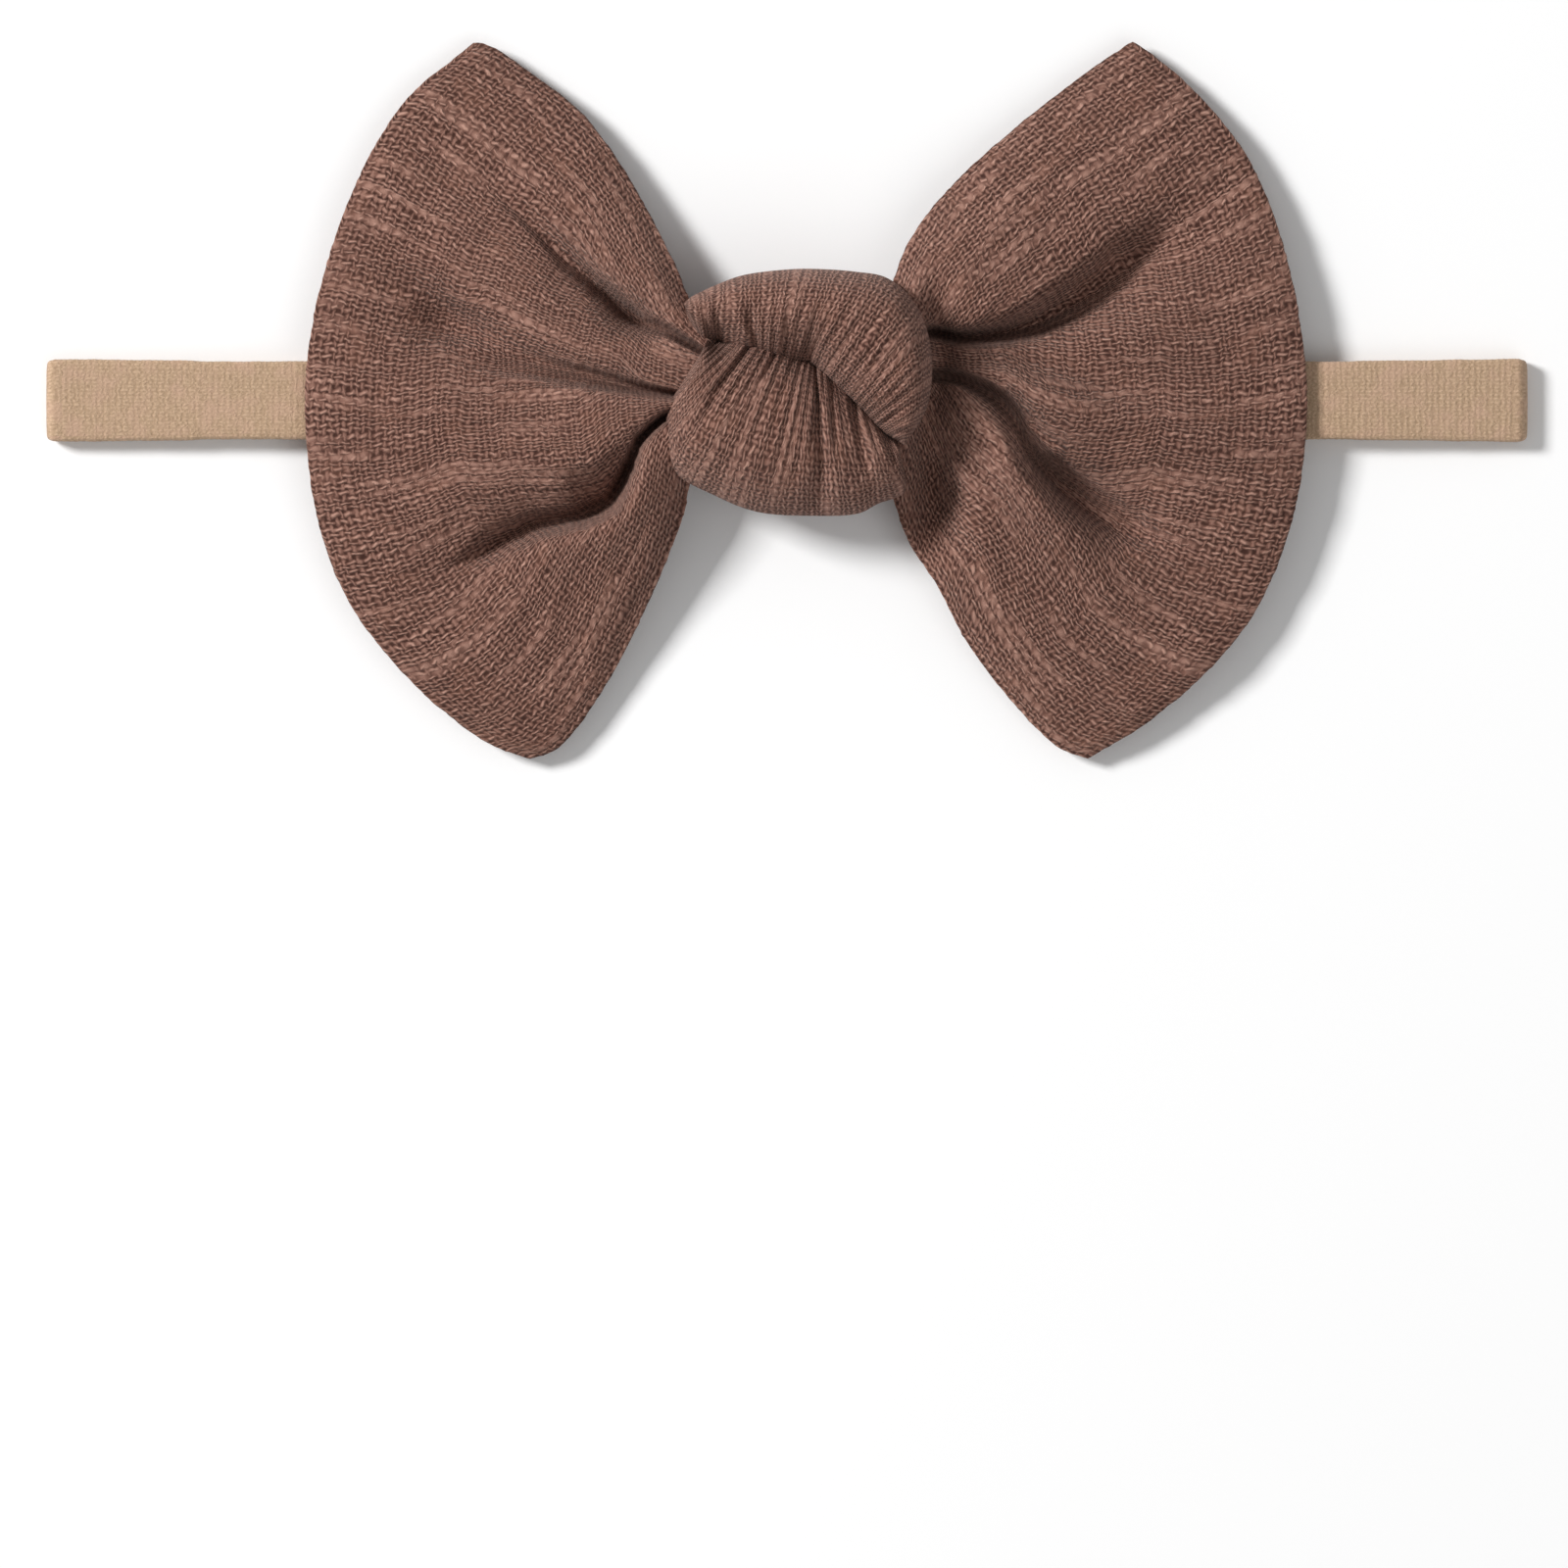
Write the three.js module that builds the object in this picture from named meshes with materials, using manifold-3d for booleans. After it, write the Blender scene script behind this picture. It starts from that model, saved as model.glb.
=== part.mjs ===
// A knotted-bow headband for a small child, lying flat on its back.
//
// A narrow stretch-nylon loop carries a bow: one strip of crinkle cotton, sewn from two plies, turned
// right side out and tied round the loop in a single knot. The loop lies pressed flat, so it is a rear
// run on the table, a front run above it and a crease at each end. The strip's tails fan out as wings.
//
// Millimetres. +X runs along the band, +Y across it, +Z up out of the bow's face. The origin is on the
// table, under the middle of the flat loop. Soft pieces are plain solids of the right size and place.
import * as THREE from "three";
import { mergeVertices } from "three/addons/utils/BufferGeometryUtils.js";
import Module from "manifold-3d";

const wasm = await Module();
wasm.setup();

// ---- Driving dimensions ---------------------------------------------------------------------------

const CLEARANCE = 0.3; // between pieces that touch

// Nylon loop
const LAY_FLAT_LENGTH = 150.6; // crease to crease
const BAND_WIDTH = 8.2;
const BAND_THICKNESS = 1.0; // the flattened nylon tube, both walls
const RUN_GAP = 0.4; // between the rear and the front run beside a crease
const LAP_LENGTH = 12; // how far the nylon's two ends lap, inside the knot

// Zigzag sewing through the lap
const STITCH_DIAMETER = 0.5;
const STITCH_LENGTH = 7;
const STITCH_WIDTH = 5;
const STITCH_TURNS = 6;

// Knot
const KNOT_LENGTH = 27; // along the band
const KNOT_WIDTH = 25; // across the band
const KNOT_DEPTH = 15.2; // from the back of the back wrap to the crown
const KNOT_OFFSET_X = 1.2; // it is tied a little to the right of the loop's middle
const KNOT_OFFSET_Y = 0.7;
const BACK_WRAP_THICKNESS = 1.5; // the turn of the strip that passes behind the front run
const CREASE_GAP = 0.5; // across the band, between the knot's two lobes

// Necks, where the strip leaves the knot gathered
const NECK_LENGTH = 1.8;
const NECK_HALF_WIDTH = 9.2;
const NECK_HALF_DEPTH = 2.8;
const NECK_RISE_Y = 1; // above the band's centreline

// Wings: how far the outer arc and its two tips lie from the loop's middle
const WINGS = [
  { name: "left", side: -1, reach: 49.0, topTip: 31.6, bottomTip: 25.8 },
  { name: "right", side: 1, reach: 52.9, topTip: 35.2, bottomTip: 30.0 },
];
const BOW_WIDTH = 73.2; // tip to tip, across the band
const EDGE_SPREAD = 26; // how far the long edges run across the band before they turn outwards
const EDGE_LEAN = 3.7; // how far they lean outwards meanwhile
const EDGE_SWELL = 12; // how much further the middle of a wing has run by then
const PLY_THICKNESS = 0.6;
const PLY_GAP = 1.0; // between the two plies, where the seam allowance lies
const SEAM_THICKNESS = 0.4;
const PLEATS = 3;
const PLEAT_HEIGHT = 1.2;
const TIP_REST = 1; // underside of the tips above the table

// ---- Levels and stations that follow --------------------------------------------------------------

const rearTop = BAND_THICKNESS;
const frontBottom = rearTop + RUN_GAP;
const frontTop = frontBottom + BAND_THICKNESS;
const wrapBottom = rearTop + CLEARANCE;
const wrapTop = wrapBottom + BACK_WRAP_THICKNESS;
const centreBottom = wrapTop + CLEARANCE;
const centreTop = centreBottom + BAND_THICKNESS;
const lapBottom = centreTop + CLEARANCE;
const lapTop = lapBottom + BAND_THICKNESS;
const stitchLevel = lapTop + CLEARANCE + STITCH_DIAMETER / 2;
const neckLevel = centreTop + CLEARANCE + NECK_HALF_DEPTH;
const wingHalfDepth = PLY_GAP / 2 + PLY_THICKNESS;
const tipLevel = TIP_REST + wingHalfDepth;

const halfGap = CLEARANCE / 2;
const creaseRadius = frontTop / 2; // outside of the fold
const creaseX = LAY_FLAT_LENGTH / 2 - creaseRadius; // the crease's own axis
const hingeX = KNOT_OFFSET_X + KNOT_LENGTH / 2 + CLEARANCE; // where the runs bend, on both sides
const runStart = hingeX + halfGap;
const runEnd = creaseX - CLEARANCE;

const knotCentre = new THREE.Vector3(KNOT_OFFSET_X, KNOT_OFFSET_Y, wrapBottom + KNOT_DEPTH / 2);
const knotRadii = new THREE.Vector3(KNOT_LENGTH / 2, KNOT_WIDTH / 2, KNOT_DEPTH / 2);
const FAR = 200; // longer than anything here, for cutting shapes

// ---- Materials ------------------------------------------------------------------------------------

const cloth = (color, roughness) => new THREE.MeshStandardMaterial({ color, roughness, metalness: 0 });
const nylon = cloth(0xd6b491, 0.75);
const gauze = cloth(0x7d5b50, 0.95);
const thread = cloth(0xe3c7a6, 0.6);

// ---- Shape helpers --------------------------------------------------------------------------------

const headband = new THREE.Group();

function add(name, geometry, material) {
  const mesh = new THREE.Mesh(geometry, material);
  mesh.name = name;
  headband.add(mesh);
}

// Moves every vertex of a geometry to where place(vertex) puts it.
function reshaped(geometry, place) {
  const position = geometry.getAttribute("position");
  const vertex = new THREE.Vector3();
  for (let i = 0; i < position.count; i++) {
    vertex.fromBufferAttribute(position, i);
    position.setXYZ(i, ...place(vertex).toArray());
  }
  return geometry;
}

// An outline drawn in X and Z, as deep as the given width along Y and centred on y = 0.
function acrossBand(outline, width, curveSegments = 12) {
  const geometry = new THREE.ExtrudeGeometry(outline, { depth: width, bevelEnabled: false, curveSegments });
  return geometry.rotateX(Math.PI / 2).translate(0, width / 2, 0);
}

function solid(geometry) {
  const bare = geometry.clone();
  bare.deleteAttribute("normal");
  bare.deleteAttribute("uv");
  const merged = mergeVertices(bare, 1e-4);
  return new wasm.Manifold(
    new wasm.Mesh({
      numProp: 3,
      vertProperties: new Float32Array(merged.getAttribute("position").array),
      triVerts: new Uint32Array(merged.index.array),
    }),
  );
}

function geometryOf(manifold) {
  const { vertProperties, triVerts } = manifold.getMesh();
  const geometry = new THREE.BufferGeometry();
  geometry.setAttribute("position", new THREE.BufferAttribute(vertProperties, 3));
  geometry.setIndex(new THREE.BufferAttribute(triVerts, 1));
  return geometry;
}

// A block between two opposite corners.
function block(low, high) {
  const size = new THREE.Vector3().subVectors(high, low);
  const middle = new THREE.Vector3().addVectors(low, high).multiplyScalar(0.5);
  return new THREE.BoxGeometry(size.x, size.y, size.z).translate(middle.x, middle.y, middle.z);
}

// ---- Nylon loop -----------------------------------------------------------------------------------

// A straight stretch of band between two stations, each given as [x, z of its underside].
function run([x0, z0], [x1, z1]) {
  const outline = new THREE.Shape([
    new THREE.Vector2(x0, z0),
    new THREE.Vector2(x1, z1),
    new THREE.Vector2(x1, z1 + BAND_THICKNESS),
    new THREE.Vector2(x0, z0 + BAND_THICKNESS),
  ]);
  return acrossBand(outline, BAND_WIDTH);
}

// The half turn from the rear run round to the front run.
function crease(side) {
  const outline = new THREE.Shape();
  const bottom = -Math.PI / 2;
  const top = Math.PI / 2;
  outline.absarc(side * creaseX, creaseRadius, creaseRadius, bottom, top, side < 0);
  outline.absarc(side * creaseX, creaseRadius, RUN_GAP / 2, top, bottom, side > 0);
  outline.closePath();
  return acrossBand(outline, BAND_WIDTH);
}

function addLoop() {
  const centreEnd = hingeX - halfGap;
  add("band_rear_center", run([-centreEnd, 0], [centreEnd, 0]), nylon);
  add("band_center", run([-centreEnd, centreBottom], [centreEnd, centreBottom]), nylon);
  for (const { name, side } of WINGS) {
    const rear = [[side * runStart, 0], [side * runEnd, 0]];
    const front = [[side * runStart, centreBottom], [side * runEnd, frontBottom]];
    if (side < 0) {
      rear.reverse();
      front.reverse();
    }
    add(`band_rear_${name}`, run(...rear), nylon);
    add(`band_front_${name}`, run(...front), nylon);
    add(`band_${name}_fold`, crease(side), nylon);
  }
}

// The nylon's second end, lapped over the first, and the zigzag that joins them.
function addLap() {
  const lapStart = KNOT_OFFSET_X - LAP_LENGTH / 2;
  add("band_lapped_end", run([lapStart, lapBottom], [lapStart + LAP_LENGTH, lapBottom]), nylon);
  const points = [];
  for (let i = 0; i <= STITCH_TURNS; i++) {
    const x = KNOT_OFFSET_X + STITCH_LENGTH * (i / STITCH_TURNS - 0.5);
    const y = (STITCH_WIDTH / 2) * (i % 2 ? 1 : -1);
    points.push(new THREE.Vector3(x, y, stitchLevel));
  }
  const section = new THREE.Shape().absarc(0, 0, STITCH_DIAMETER / 2, 0, 2 * Math.PI);
  const zigzag = new THREE.ExtrudeGeometry(section, {
    extrudePath: new THREE.CatmullRomCurve3(points, false, "catmullrom", 0.15),
    steps: 6 * STITCH_TURNS,
    curveSegments: 2,
  });
  add("band_join_stitch", zigzag, thread);
}

// ---- Knot -----------------------------------------------------------------------------------------

// The knot's whole bulk, made larger all round by the given amount.
function knotBall(larger) {
  const ball = new THREE.SphereGeometry(1, 28, 18);
  ball.scale(knotRadii.x + larger, knotRadii.y + larger, knotRadii.z + larger);
  return solid(ball.translate(knotCentre.x, knotCentre.y, knotCentre.z));
}

// Everything on one side of the S-shaped crease where the over lobe tucks under the other. The crease's
// points are shares of the knot's half length and half width.
function besideCrease(over) {
  const shift = ((over ? 1 : -1) * CREASE_GAP) / 2;
  const crossings = [[-1.6, 0.5], [-0.85, 0.46], [-0.45, 0.4], [0, 0.24]];
  crossings.push([0.36, -0.08], [0.75, -0.54], [1.5, -1]);
  const line = new THREE.SplineCurve(
    crossings.map(([x, y]) => new THREE.Vector2(x * knotRadii.x, y * knotRadii.y + shift).add(knotCentre)),
  );
  const farY = over ? FAR : -FAR;
  const outline = new THREE.Shape([
    ...line.getPoints(24),
    new THREE.Vector2(FAR, farY),
    new THREE.Vector2(-FAR, farY),
  ]);
  return solid(new THREE.ExtrudeGeometry(outline, { depth: FAR, bevelEnabled: false }));
}

function addKnot() {
  const ball = knotBall(0);
  const low = new THREE.Vector3(-FAR, -FAR, -FAR);
  const high = new THREE.Vector3(FAR, FAR, FAR);
  const backHalf = solid(block(low, new THREE.Vector3(FAR, FAR, wrapTop)));
  const frontHalf = solid(block(new THREE.Vector3(-FAR, -FAR, centreBottom), high));
  const halfWidth = BAND_WIDTH / 2 + CLEARANCE;
  const halfLap = LAP_LENGTH / 2 + CLEARANCE;
  const bandTunnel = block(
    new THREE.Vector3(-FAR, -halfWidth, -FAR),
    new THREE.Vector3(FAR, halfWidth, centreTop + CLEARANCE),
  );
  const lapPocket = block(
    new THREE.Vector3(KNOT_OFFSET_X - halfLap, -halfWidth, -FAR),
    new THREE.Vector3(KNOT_OFFSET_X + halfLap, halfWidth, stitchLevel + STITCH_DIAMETER / 2 + CLEARANCE),
  );
  const front = ball.intersect(frontHalf).subtract(solid(bandTunnel)).subtract(solid(lapPocket));
  add("knot_back_wrap", geometryOf(ball.intersect(backHalf)), gauze);
  add("knot_over_lobe", geometryOf(front.intersect(besideCrease(true))), gauze);
  add("knot_under_lobe", geometryOf(front.intersect(besideCrease(false))), gauze);
}

// ---- Necks ----------------------------------------------------------------------------------------

// The gathered strip between the knot's side and the wing: a crescent that hugs the knot.
function addNecks() {
  const knot = knotBall(CLEARANCE);
  const larger = NECK_LENGTH - halfGap;
  const upright = new THREE.CylinderGeometry(1, 1, FAR, 48).rotateX(Math.PI / 2);
  upright.scale(knotRadii.x + larger, knotRadii.y + larger, 1);
  const reach = solid(upright.translate(knotCentre.x, knotCentre.y, 0));
  for (const { name, side } of WINGS) {
    const length = knotRadii.x + NECK_LENGTH;
    const bundle = new THREE.CylinderGeometry(1, 1, length, 24).rotateZ(Math.PI / 2);
    bundle.scale(1, NECK_HALF_WIDTH, NECK_HALF_DEPTH);
    bundle.translate(knotCentre.x + (side * length) / 2, NECK_RISE_Y, neckLevel);
    add(`${name}_neck`, geometryOf(solid(bundle).intersect(reach).subtract(knot)), gauze);
  }
}

// ---- Wings ----------------------------------------------------------------------------------------

// Height of the front run's top at a distance from the loop's middle.
function frontRunTop(distance) {
  const share = (distance - runStart) / (runEnd - runStart);
  return THREE.MathUtils.lerp(centreTop, frontTop, share);
}

// The wing's inner end at v, from -1 at the bottom edge to 1 at the top edge: round the neck.
function wingRoot({ side }, v) {
  const larger = NECK_LENGTH + halfGap;
  const y = NECK_RISE_Y + v * NECK_HALF_WIDTH;
  const across = (y - knotCentre.y) / (knotRadii.y + larger);
  return new THREE.Vector2(knotCentre.x + side * (knotRadii.x + larger) * Math.sqrt(1 - across ** 2), y);
}

// The wing's outer edge at v: an arc from the bottom tip round the furthest point to the top tip.
function wingArc({ side, reach, topTip, bottomTip }, v) {
  const middle = (topTip + bottomTip) / 2;
  const bulge = reach - middle;
  const radius = ((BOW_WIDTH / 2) ** 2 + bulge ** 2) / (2 * bulge);
  const angle = v * Math.asin(BOW_WIDTH / 2 / radius);
  const lean = (v * (topTip - bottomTip)) / 2;
  const distance = reach - radius * (1 - Math.cos(angle)) + lean * Math.abs(v);
  return new THREE.Vector2(side * distance, radius * Math.sin(angle));
}

// A point of the wing: u runs from the neck to the outer arc, v from the bottom edge, -1, to the top
// edge, 1, and lift is the height above the middle of the wing's thickness.
function wingPoint(wing, u, v, lift) {
  const root = wingRoot(wing, v);
  const lean = EDGE_LEAN + EDGE_SWELL * (1 - v ** 2);
  const turn = new THREE.Vector2(root.x + wing.side * lean, NECK_RISE_Y + v * EDGE_SPREAD);
  const plan = new THREE.QuadraticBezierCurve(root, turn, wingArc(wing, v)).getPoint(u);
  const arcLevel = frontRunTop(wing.reach) + CLEARANCE + wingHalfDepth;
  const drop = (neckLevel - arcLevel) * u ** 1.3 + (arcLevel - tipLevel) * (u * v) ** 2;
  const pleat = PLEAT_HEIGHT * Math.cos(PLEATS * Math.PI * v) * (1 - u) ** 1.2;
  return new THREE.Vector3(plan.x, plan.y, neckLevel - drop + pleat + lift);
}

// A layer of cloth over the whole wing, centred at the given height in the wing's thickness.
function ply(wing, level) {
  const sheet = new THREE.BoxGeometry(1, 2, PLY_THICKNESS, 12, 24, 1).translate(0.5, 0, 0);
  const u = (x) => (wing.side > 0 ? x : 1 - x);
  return reshaped(sheet, (p) => wingPoint(wing, u(p.x), p.y, level + p.z));
}

// The turned seam allowance: a ribbon between the plies, out along one long edge, round the arc and
// back in along the other.
function seamAllowance(wing) {
  const corners = [[0.12, 1], [1, 1], [1, -1], [0.12, -1]];
  const legs = corners.length - 1;
  const [outerInset, innerInset] = [0.02, 0.09];
  const ribbon = new THREE.BoxGeometry(legs, 1, SEAM_THICKNESS, 12 * legs, 1, 1).translate(legs / 2, 0.5, 0);
  return reshaped(ribbon, (p) => {
    const along = wing.side > 0 ? p.x : legs - p.x;
    const leg = Math.min(legs - 1, Math.floor(along));
    const [[u0, v0], [u1, v1]] = [corners[leg], corners[leg + 1]];
    const inset = THREE.MathUtils.lerp(innerInset, outerInset, p.y);
    const u = Math.min(THREE.MathUtils.lerp(u0, u1, along - leg), 1 - inset);
    const v = THREE.MathUtils.lerp(v0, v1, along - leg) * (1 - inset);
    return wingPoint(wing, u, v, p.z);
  });
}

function addWings() {
  const level = (PLY_GAP + PLY_THICKNESS) / 2;
  for (const wing of WINGS) {
    add(`${wing.name}_wing_front_ply`, ply(wing, level), gauze);
    add(`${wing.name}_wing_back_ply`, ply(wing, -level), gauze);
    add(`${wing.name}_wing_seam_allowance`, seamAllowance(wing), gauze);
  }
}

addLoop();
addLap();
addKnot();
addNecks();
addWings();

export default headband;
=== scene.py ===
import math

import bmesh
import bpy
import numpy as np
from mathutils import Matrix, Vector


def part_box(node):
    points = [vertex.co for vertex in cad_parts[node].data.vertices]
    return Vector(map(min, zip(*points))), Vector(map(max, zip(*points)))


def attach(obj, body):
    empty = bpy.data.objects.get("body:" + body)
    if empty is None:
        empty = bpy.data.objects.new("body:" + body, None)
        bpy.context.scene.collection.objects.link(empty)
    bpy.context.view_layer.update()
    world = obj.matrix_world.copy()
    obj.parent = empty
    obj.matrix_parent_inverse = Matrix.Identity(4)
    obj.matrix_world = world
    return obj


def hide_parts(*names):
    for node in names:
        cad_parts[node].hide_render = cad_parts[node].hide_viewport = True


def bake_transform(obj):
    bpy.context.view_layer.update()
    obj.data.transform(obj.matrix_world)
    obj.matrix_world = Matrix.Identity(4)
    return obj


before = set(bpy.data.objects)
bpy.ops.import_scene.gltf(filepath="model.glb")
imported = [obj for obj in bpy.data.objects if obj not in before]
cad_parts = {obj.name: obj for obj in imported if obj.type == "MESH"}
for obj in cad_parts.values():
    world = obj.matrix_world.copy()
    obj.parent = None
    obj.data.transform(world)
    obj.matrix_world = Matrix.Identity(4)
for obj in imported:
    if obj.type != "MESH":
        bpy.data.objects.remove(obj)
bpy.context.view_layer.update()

MM = 0.001


def union(*names):
    """The box of several CAD nodes together, in millimetres: lowest and highest corner."""
    boxes = [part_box(name) for name in names]
    low = np.min([np.array(b[0]) for b in boxes], axis=0) / MM
    high = np.max([np.array(b[1]) for b in boxes], axis=0) / MM
    return low, high


KNOT_LOW, KNOT_HIGH = union("knot_over_lobe", "knot_under_lobe", "knot_back_wrap")
REAR_LOW, REAR_HIGH = union("band_rear_center", "band_rear_left", "band_rear_right")
CENTRE_HIGH = union("band_center")[1]
FRONT_LOW, FRONT_HIGH = union("band_front_left", "band_front_right")
FOLD_HIGH = union("band_left_fold", "band_right_fold")[1]
WING_BOX = {
    side: union(f"{side}_wing_front_ply", f"{side}_wing_back_ply") for side in ("left", "right")
}
KNOT_X, KNOT_Y = (KNOT_LOW[:2] + KNOT_HIGH[:2]) / 2
KNOT_HALF = (KNOT_HIGH - KNOT_LOW) / 2
HALF_SPAN = (WING_BOX["left"][1][1] - WING_BOX["left"][0][1]) / 2
RUN_THICKNESS = REAR_HIGH[2] - REAR_LOW[2]  # of the flattened nylon


# ---- Maths helpers ----


def smooth(t, low=0.0, high=1.0):
    """An even step from 0 at low to 1 at high."""
    t = np.clip((np.asarray(t, float) - low) / (high - low), 0, 1)
    return t * t * (3 - 2 * t)


def lattice(ix, iy, seed):
    """A repeatable random number from 0 to 1 at whole coordinates. The large numbers are a hash."""
    n = (ix.astype(np.int64) * 374761393 + iy.astype(np.int64) * 668265263 + seed * 974634777)
    n = (n ^ (n >> 13)) * 1274126177
    return ((n ^ (n >> 16)) & 0xFFFFFF) / 0xFFFFFF


def noise(x, y, seed=0):
    """Smooth noise from -1 to 1, one bump per unit of x and y."""
    x, y = np.broadcast_arrays(np.asarray(x, float), np.asarray(y, float))
    x0, y0 = np.floor(x), np.floor(y)
    fx, fy = smooth(x - x0), smooth(y - y0)
    corners = [lattice(x0 + i, y0 + j, seed) for i in (0, 1) for j in (0, 1)]
    low = corners[0] * (1 - fy) + corners[1] * fy
    high = corners[2] * (1 - fy) + corners[3] * fy
    return 2 * (low * (1 - fx) + high * fx) - 1


def travel(points):
    """How far along a line each of its points lies."""
    return np.concatenate([[0], np.cumsum(np.linalg.norm(np.diff(points, axis=0), axis=1))])


def between(at, keys, values):
    """Each column of the values, at places between the keys."""
    return np.stack([np.interp(at, keys, column) for column in values.T], axis=-1)


CHORD_POWER = 0.75  # how much the distance between two points counts in a curve's spacing
SAMPLES = 60  # for each point of a curve


def through(points, count):
    """A smooth curve through the points, as count points evenly spaced along it."""
    p = np.asarray(points, float)
    chord = np.linalg.norm(np.diff(p, axis=0), axis=1) ** CHORD_POWER
    chord = np.concatenate([[0], np.cumsum(chord)])
    slope = np.gradient(p, chord, axis=0)
    t = np.linspace(0, chord[-1], SAMPLES * len(p))
    k = np.clip(np.searchsorted(chord, t, side="right") - 1, 0, len(p) - 2)
    h = (chord[k + 1] - chord[k])[:, None]
    s = ((t - chord[k]) / h[:, 0])[:, None]
    dense = (
        (2 * s**3 - 3 * s**2 + 1) * p[k]
        + (s**3 - 2 * s**2 + s) * h * slope[k]
        + (3 * s**2 - 2 * s**3) * p[k + 1]
        + (s**3 - s**2) * h * slope[k + 1]
    )
    along = travel(dense)
    return between(np.linspace(0, along[-1], count), along, dense)


def length(points):
    return float(np.linalg.norm(np.diff(points, axis=0), axis=1).sum())


def crinkle(along, across, sizes):
    """Fine folds in the cloth, in millimetres. Each of the sizes is a fold's height, its length along
    the strip and its width across it, in millimetres, and a seed."""
    return sum(high * noise(along / long, across / wide, seed) for high, long, wide, seed in sizes)


def soften(values, times):
    """Rounds what changes along each row, and leaves both ends of the row as they are."""
    for _ in range(times):
        values = values.copy()
        values[:, 1:-1] = (values[:, :-2] + 2 * values[:, 1:-1] + values[:, 2:]) / 4
    return values


# ---- Mesh helpers ----

WELD = 0.002  # millimetres within which vertices become one
BAKE_HEIGHT = (0.01, 0.99)  # bottom and top of each rectangle in the bake map


class Patches:
    """Grids of vertices with their own places in both UV maps, welded into one mesh at the end."""

    def __init__(self):
        self.points, self.weave, self.bake, self.faces = [], [], [], []
        self.count = 0

    def add(self, points, weave, left, right, flip=False):
        """points is rows x columns x 3 in millimetres, weave rows x columns x 2. left and right are
        the sides of its rectangle in the bake map."""
        rows, columns = points.shape[:2]
        index = self.count + np.arange(rows * columns).reshape(rows, columns)
        quads = np.stack([index[:-1, :-1], index[:-1, 1:], index[1:, 1:], index[1:, :-1]], axis=-1)
        quads = quads.reshape(-1, 4)
        self.faces += (quads[:, ::-1] if flip else quads).tolist()
        across, along = np.meshgrid(np.linspace(*BAKE_HEIGHT, columns), np.linspace(left, right, rows))
        self.points.append(points.reshape(-1, 3))
        self.weave.append(np.asarray(weave).reshape(-1, 2))
        self.bake.append(np.dstack([along, across]).reshape(-1, 2))
        self.count += rows * columns

    def close(self, first, last, shift=0):
        """Caps both ends of a tube, given the rings of points there."""
        for ring, left in ((first, 0.93), (last, 0.97)):
            end = cap(ring)
            self.add(end, end[..., :2] + shift, left, left + 0.02)

    def piece(self, name, material, slot):
        mesh = bpy.data.meshes.new(name)
        mesh.from_pydata((np.concatenate(self.points) * MM).tolist(), [], self.faces)
        corners = np.zeros(len(mesh.loops), np.int32)
        mesh.loops.foreach_get("vertex_index", corners)
        for map_name, places in (("weave", self.weave), ("OFBake", self.bake)):
            layer = mesh.uv_layers.new(name=map_name)
            layer.data.foreach_set("uv", np.concatenate(places)[corners].astype(np.float32).ravel())
        shape = bmesh.new()
        shape.from_mesh(mesh)
        bmesh.ops.remove_doubles(shape, verts=shape.verts, dist=WELD * MM)
        bmesh.ops.recalc_face_normals(shape, faces=shape.faces)
        shape.to_mesh(mesh)
        shape.free()
        mesh.polygons.foreach_set("use_smooth", np.ones(len(mesh.polygons), bool))
        mesh.materials.append(material)
        piece = bpy.data.objects.new(name, mesh)
        bpy.context.scene.collection.objects.link(piece)
        return piece


def cap(ring, share=0.5):
    """A flat end for a ring of points: the ring, a smaller one and its middle."""
    middle = np.broadcast_to(ring.mean(axis=0), ring.shape)
    return np.stack([ring, ring * (1 - share) + middle * share, middle])


# ---- Materials ----


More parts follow.
